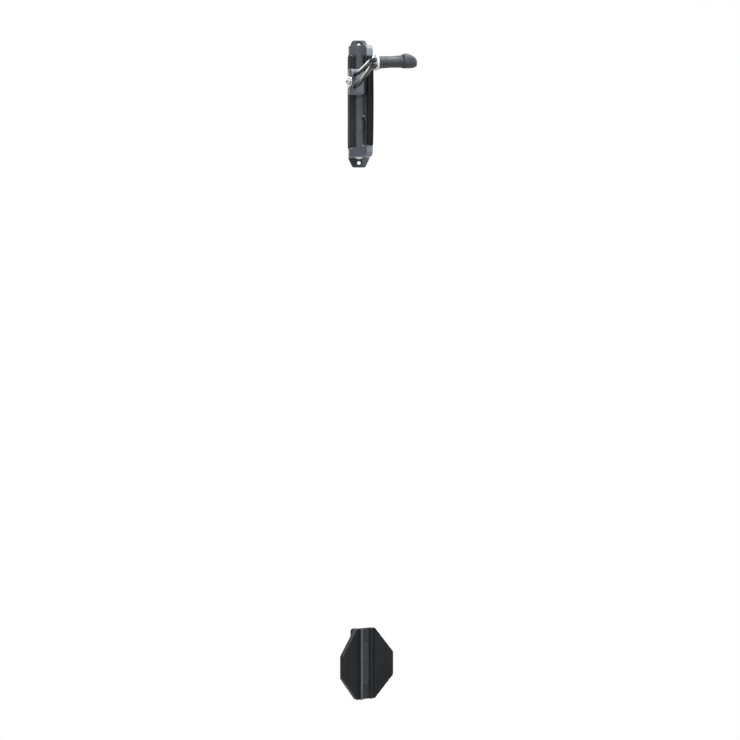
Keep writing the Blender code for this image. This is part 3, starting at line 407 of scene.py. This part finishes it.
def revolved(profile, sides=72):
    """Rings round Z through (radius, height) in mm; a third value, 6, makes that ring a hexagon.

    A hexagon's radius is half its width across flats, so its points lie at
    radius / cos(angle from the middle of the nearest flat).
    """
    angles = 2 * np.pi * np.arange(sides) / sides
    rings = []
    for radius, height, *corners in profile:
        reach = np.full(sides, float(radius))
        if corners:
            flat = 2 * np.pi / corners[0]
            reach = radius / np.cos((angles + flat / 2) % flat - flat / 2)
        rings.append(np.stack([reach * np.cos(angles), reach * np.sin(angles),
                               np.full(sides, float(height))], axis=1))
    return rings


def button_head(shank, foot, base, radius, height, socket):
    """Profile of a button-head screw with a hexagon socket, from its foot to the socket's floor.

    The head is a dome: radius * cos(a) across and height * sin(a) up, cut off where the socket's
    chamfer begins.
    """
    profile = [(shank * 0.3, foot), (shank - 0.5, foot), (shank, foot + 0.5), (shank, base),
               (radius - 0.3, base), (radius, base + 0.3)]
    rim = socket * 1.3
    last = math.acos(rim / radius)
    for step in range(1, 15):
        angle = last * step / 14
        profile.append((radius * math.cos(angle), base + 0.3 + (height - 0.3) * math.sin(angle)
                        / math.sin(last)))
    top = base + height
    profile += [(socket * 1.16, top - 0.1), (socket, top - 0.4, 6), (socket, top - height * 0.7, 6),
                (socket * 0.5, top - height * 0.8, 6)]
    return profile


def make_fasteners(finish):
    """Screws, bolt and washers with the edges and sockets that turning and heading leave."""
    arm_end = COLUMN_HALF_HEIGHT + BUSH_FLANGE + 2 * GAP + ARM_THICKNESS - PIVOT_SINK
    seat = arm_end + GAP
    under_head = WASHER_THICKNESS + GAP
    for end, side in (("upper", 1), ("lower", -1)):
        flip = SWING @ Matrix.Diagonal((1, 1, side, 1))
        screw = button_head(3, seat - 14, seat + under_head, 7.5, 3.8, 2.5)
        ring = washer(3.4, 12, seat, WASHER_THICKNESS)
        make_piece(f"pivot_screw_{end}", revolved(screw), flip, finish)
        make_piece(f"pivot_washer_{end}", revolved(ring), flip, finish, closed=True)
    outward, up = CLAMP_BOLT_PLACE
    lug = (SWING @ Matrix.Translation((outward * MM, 0, up * MM))
           @ Matrix.Rotation(math.pi / 2, 4, "X"))
    plate = -ROD_OFFSET + GAP + CLAMP_THICKNESS + GAP
    ring = washer(3.3, 11, plate, WASHER_THICKNESS)
    bolt = button_head(3, 22, plate + under_head, 7, 4.4, 2.5)
    make_piece("clamp_washer", revolved(ring), lug, finish, closed=True)
    make_piece("clamp_bolt", revolved(bolt), lug, finish)
    for end, height in (("upper", COLUMN_SCREW_HEIGHT), ("lower", -COLUMN_SCREW_HEIGHT)):
        wide, radius, length = 3.78, 2.1, 24
        screw = [(1.2, 1.9), (1.25, 1.8, 6), (1.25, 0.35, 6), (1.6, 0.3), (wide, 0.3), (wide, 0.5),
                 (radius, 0.5 + wide - radius), (radius, length - 1), (radius - 0.7, length)]
        into = Matrix.Translation((0, 0, height * MM)) @ Matrix.Rotation(math.pi / 2, 4, "X")
        make_piece(f"column_screw_{end}", revolved(screw), into, finish)


def washer(inner, outer, seat, thickness, chamfer=0.35):
    """Closed profile of a flat washer with its outer edges broken."""
    top = seat + thickness
    return [(inner, seat), (outer - chamfer, seat), (outer - chamfer * 0.3, seat + chamfer * 0.3),
            (outer, seat + chamfer), (outer, top - chamfer),
            (outer - chamfer * 0.3, top - chamfer * 0.3), (outer - chamfer, top),
            (inner + 0.3, top), (inner, top - 0.3)]


def bent_path(corners, steps=14):
    """Centre line through (point, bend radius) corners, with an arc at each bend."""
    path = [corners[0][0]]
    for (last, _), (here, radius), (following, _) in zip(corners, corners[1:], corners[2:]):
        before = (last - here).normalized()
        after = (following - here).normalized()
        half = before.angle(after) / 2
        centre = here + (before + after).normalized() * (radius / math.sin(half))
        start = here + before * (radius / math.tan(half)) - centre
        turn = start.rotation_difference(here + after * (radius / math.tan(half)) - centre)
        for step in range(steps + 1):
            part = turn.copy()
            part.angle = turn.angle * step / steps
            path.append(centre + part @ start)
    return path + [corners[-1][0]]


def make_hook_rod(finish):
    """Hairpin rod: a circle of 4 mm radius carried without twist along straight runs and bends."""
    to_hook = SWING.inverted() @ HOOK
    lines = {}
    for begin, side in zip(ROD_START_HEIGHTS, (1, -1)):
        root, tip = (to_hook @ (Vector((0, along, HOOK_ROD_SPREAD * side)) * MM) / MM
                     for along in (HOOK_ROOT, HOOK_END))
        slope = (root.z - begin) / (HOOK_REACH - ROD_START)
        kink = Vector((ROD_KINK, ROD_OFFSET, begin + slope * (ROD_KINK - ROD_START)))
        first = Vector((ROD_START, ROD_OFFSET, begin))
        lines[side] = [(first, 0), (kink, 40), (root, 8), (tip, 5.3)]
    path = bent_path(lines[1] + lines[-1][::-1])
    heading = (path[1] - path[0]).normalized()
    across = heading.orthogonal().normalized()
    angles = 2 * np.pi * np.arange(28) / 28
    rings = []
    for index, point in enumerate(path):
        ahead = (path[min(index + 1, len(path) - 1)] - path[max(index - 1, 0)]).normalized()
        across = heading.rotation_difference(ahead) @ across
        heading = ahead
        sideways, up = np.array(across), np.array(heading.cross(across))
        rings.append(np.array(point) + ROD_RADIUS * (np.cos(angles)[:, None] * sideways
                                                     + np.sin(angles)[:, None] * up))
    return make_piece("hook_wire", rings, SWING, finish)


def make_sleeve(finish):
    """Soft sleeve turned about the hook's centre line.

    Radius 12.7 at the root flange, then 11.7 less 0.6 * sin(pi * s) over the seat, with five
    grip rings 0.35 deep at each end of the seat.
    """
    start, end = SLEEVE_SPAN
    length = end - start
    profile = [(2, 0), (10.9, 0), (11.8, 0.2), (12.5, 0.8), (12.7, 1.6), (12.7, 3.6), (12.5, 4.3),
               (12.1, 5.0)]
    for step in range(129):
        share = step / 128
        along = 6 + (length - 7.2) * share
        ring = 0.0
        for first in (8.0, length - 13.5):
            phase = (along - first) / 2.4
            if 0 <= phase <= 5:
                ring = 0.35 * math.sin(math.pi * phase) ** 4
        profile.append((11.7 - 0.6 * math.sin(math.pi * share) - ring, along))
    profile += [(11.5, length - 0.5), (11.1, length - 0.1), (10.8, length), (2, length)]
    lie = ALONG_HOOK @ Matrix.Translation((0, 0, start * MM))
    return make_piece("hook_sleeve", revolved(profile, 64), lie, finish, sharp=50)


def make_knob(finish):
    """End knob: superellipse sections, exponent 2.5, that rise fast and fall to a blunt end.

    Top, bottom and half width follow smooth curves fitted through nine sections, chosen to look
    like the photograph's knob; the last 1 mm closes as a quarter ellipse.
    """
    keys = np.array([(0, 11.5, -11.5, 11.5), (0.08, 13.2, -12.5, 12.6), (0.2, 14.3, -13.1, 13.2),
                     (0.36, 14.5, -13.4, 13.4), (0.52, 13.4, -13.4, 13), (0.68, 11.4, -13.3, 12.2),
                     (0.82, 8.8, -12.9, 11), (0.92, 6.4, -12.1, 9.6), (0.98, 4.4, -11.1, 8.4)])
    curves = [np.polynomial.Polynomial.fit(keys[:, 0], keys[:, column], 5) for column in (1, 2, 3)]
    angles = 2 * np.pi * np.arange(72) / 72
    across, rise = (np.sign(part) * np.abs(part) ** 0.8 for part in (np.cos(angles), np.sin(angles)))
    last = 0.965
    stations = [(share, 1.0, 0.0) for share in np.linspace(0, last, 44)]
    stations = [(0, 0.3, 0.0), (0, 0.96, 0.0), (0, 0.99, 0.1)] + stations[1:]
    stations += [(last, math.cos(turn), 0.9 * math.sin(turn))
                 for turn in np.linspace(0, math.pi / 2, 12)[1:-1]]
    rings = []
    for share, scale, extra in stations:
        top, bottom, half = (curve(share) for curve in curves)
        along = TIP_START + TIP_LENGTH * share + extra
        height = (top + bottom) / 2 + rise * scale * (top - bottom) / 2
        rings.append(np.stack([across * scale * half, np.full(72, along), height], axis=1))
    return make_piece("hook_tip", rings, HOOK, finish, sharp=50)


def make_tyre_pad(finish):
    """Rubber strip: bowed out half way up, a cosine-squared trough, and a groove every 6 mm.

    Its crest falls with the square of the height, and its last 4 mm by a quarter circle more.
    """
    back, half, reach = RAIL_OUTER + GAP, RAIL_HALF_WIDTH - 0.5, 86.0
    side = np.linspace(-1, 1, 33)
    corner = 1 - np.sqrt(1 - np.clip((np.abs(side) - 0.88) / 0.12, 0, 1) ** 2)
    rings = []
    for height in reach * np.sin(np.linspace(-np.pi / 2, np.pi / 2, 420)):
        ending = max(0.0, abs(height) - reach + 4) / 4
        crest = 4.6 - 2.2 * (height / reach) ** 2 - 1.1 * (1 - math.sqrt(1 - min(ending, 1) ** 2))
        groove = 0.35 * math.cos(math.pi * height / 6) ** 24 * (abs(height) < reach - 3)
        face = back + crest - (1.4 * np.cos(np.pi * side / 2) ** 2 + 0.9 * corner
                               + groove * (np.abs(side) < 0.86))
        front = np.stack([face, side * half, np.full(33, height)], axis=1)
        rear = [(back, half * share, height) for share in (1, 0.5, 0, -0.5, -1)]
        rings.append(np.vstack([front, rear]))
    return make_piece("tyre_rest_pad", rings, SWING, finish)


def make_rest_pad(finish):
    """Rubber insert with round ends, ribbed across: a groove every 4 mm on its proud face."""
    half, straight = 6.9, 37.0
    foot, face = 19.9, 22.8
    side = np.linspace(-1, 1, 25)
    corner = 1 - np.sqrt(1 - np.clip((np.abs(side) - 0.84) / 0.16, 0, 1) ** 2)
    ends = straight + half * np.sin(np.linspace(0, 0.49 * np.pi, 14))
    rings = []
    for height in np.concatenate([-ends[::-1], np.linspace(-straight, straight, 260)[1:-1], ends]):
        past = max(0.0, abs(height) - straight)
        wide = math.sqrt(max(half ** 2 - past ** 2, 0.02))
        groove = 0.3 * math.cos(math.pi * height / 4) ** 16 * (abs(height) < straight)
        proud = face - 0.7 * corner - groove * (np.abs(side) < 0.8) - 0.7 * (past / half) ** 6
        front = np.stack([proud, side * wide, np.full(25, height)], axis=1)
        rear = [(foot, wide * share, height) for share in (1, 0, -1)]
        rings.append(np.vstack([front, rear]))
    return make_piece("rest_pad", rings, REST, finish)


def make_camera():
    """Stands 4.7 m out and 0.4 m below the upper unit, an estimate of the photographer's place."""
    stand = Vector((0.0, -4.7, -0.4))
    middle = Vector((0.022, 0.0, -0.525))
    lens = bpy.data.cameras.new("camera")
    lens.sensor_width = 36
    lens.lens = 115.5
    camera = bpy.data.objects.new("camera", lens)
    bpy.context.collection.objects.link(camera)
    camera.location = stand
    camera.rotation_euler = (middle - stand).to_track_quat("-Z", "Y").to_euler()
    bpy.context.scene.camera = camera


def make_lamp(name, place, target, size, power):
    """A soft rectangular lamp aimed at a point."""
    lamp = bpy.data.lights.new(name, "AREA")
    lamp.shape = "RECTANGLE"
    lamp.size, lamp.size_y = size
    lamp.energy = power
    holder = bpy.data.objects.new(name, lamp)
    bpy.context.collection.objects.link(holder)
    holder.location = place
    aim = Vector(target) - Vector(place)
    holder.rotation_euler = aim.to_track_quat("-Z", "Y").to_euler()


def seen_directly(tree):
    """1 for what the camera sees, straight or in a reflection or through glass, 0 for light."""
    path = add(tree, "ShaderNodeLightPath")
    seen = add(tree, "ShaderNodeMath", {0: path.outputs["Is Camera Ray"],
                                        1: path.outputs["Is Glossy Ray"]}, operation="MAXIMUM")
    return add(tree, "ShaderNodeMath", {0: seen.outputs[0], 1: path.outputs["Is Transmission Ray"]},
               operation="MAXIMUM").outputs[0]


def make_world():
    """White to the camera and in reflections, and a dim grey as light."""
    world = bpy.data.worlds.new("studio")
    world.use_nodes = True
    bpy.context.scene.world = world
    tree = world.node_tree
    output = tree.nodes["World Output"]
    light = tree.nodes["Background"]
    light.inputs["Color"].default_value = (1, 1, 1, 1)
    light.inputs["Strength"].default_value = 0.25
    backdrop = add(tree, "ShaderNodeBackground", {"Color": (1, 1, 1, 1), "Strength": 1.0})
    either = add(tree, "ShaderNodeMixShader", {0: seen_directly(tree),
                                               1: light.outputs["Background"],
                                               2: backdrop.outputs["Background"]})
    tree.links.new(either.outputs["Shader"], output.inputs["Surface"])


def make_floor():
    """Pale studio floor, as far below the upper unit as a real one is.

    To the camera and in reflections it passes into the white behind it between 1.2 and 2.4 m from
    the middle, so that its rim doesn't show; its light on the object stays that of a pale floor.
    """
    height = -1.9
    reach = 2.5
    turns = 2 * np.pi * np.arange(96) / 96
    rim = np.stack([reach * np.cos(turns), reach * np.sin(turns), np.full(96, height)], axis=1)
    mesh = bpy.data.meshes.new("floor")
    mesh.from_pydata(rim.tolist(), [], [tuple(range(96))])
    floor = bpy.data.objects.new("floor", mesh)
    bpy.context.collection.objects.link(floor)
    paint = surface_material("pale_floor_paint", "#e9e9e8", "#eeeeed", 400, (0.6, 0.7), 5, 0.05)
    tree = paint.node_tree
    place = add(tree, "ShaderNodeTexCoord").outputs["Object"]
    flat = add(tree, "ShaderNodeVectorMath", {0: place, 1: (1, 1, 0)}, operation="MULTIPLY")
    away = add(tree, "ShaderNodeVectorMath", {0: flat.outputs[0]}, operation="LENGTH")
    fade = add(tree, "ShaderNodeMapRange", {"Value": away.outputs["Value"], "From Min": 1.2,
                                            "From Max": 2.4}, interpolation_type="SMOOTHSTEP")
    share = add(tree, "ShaderNodeMath", {0: fade.outputs["Result"], 1: seen_directly(tree)},
                operation="MULTIPLY")
    white = add(tree, "ShaderNodeEmission", {"Color": (1, 1, 1, 1), "Strength": 1.0})
    both = add(tree, "ShaderNodeMixShader", {0: share.outputs[0],
                                             1: tree.nodes["Principled BSDF"].outputs["BSDF"],
                                             2: white.outputs["Emission"]})
    tree.links.new(both.outputs["Shader"], tree.nodes["Material Output"].inputs["Surface"])
    floor.data.materials.append(paint)


def make_studio():
    """World, floor, camera and three lamps; a mid-grey of 128 renders at about 95 to 170."""
    make_world()
    make_floor()
    make_camera()
    middle = (0.0, 0.0, -0.5)
    make_lamp("key_lamp", (1.7, -3.1, 1.3), middle, (1.6, 1.4), 160)
    make_lamp("ceiling_lamp", (0.8, -0.15, 1.8), (0, 0, 0), (0.9, 0.9), 90)
    make_lamp("back_lamp", (-1.4, 2.4, 0.6), middle, (1.4, 1.4), 30)
    scene = bpy.context.scene
    scene.view_settings.view_transform = "Standard"


ROUNDINGS = {
    "wall_plate": 0.5, "pivot_column": 0.8, "front_inlay": 0.4,
    "rod_clamp": 0.6, "hook_collar": 0.4, "rest_base": 0.6,
}
KEPT = ["wall_plate", "pivot_column", "front_inlay", "upper_bush", "lower_bush", "pivot_shaft",
        "rod_clamp", "hook_collar", "rest_base", "rest_pin", "rest_pin_clip",
        "rest_upper_bush", "rest_lower_bush"]
FINISHES = make_materials()
make_hook_rod(FINISHES["black_rod"])
make_sleeve(FINISHES["grip"])
make_knob(FINISHES["grip"])
make_tyre_pad(FINISHES["rubber"])
make_rest_pad(FINISHES["tread_rubber"])
make_fasteners(FINISHES["zinc_steel"])
for part_node in KEPT:
    dressed(part_node, ROUNDINGS.get(part_node, 0), FINISHES[SLOT_OF[part_node]])
dressed("swing_yoke", 1.4, FINISHES["yoke"])
dressed("rest_cradle", 0.6, FINISHES["cradle"])
make_studio()
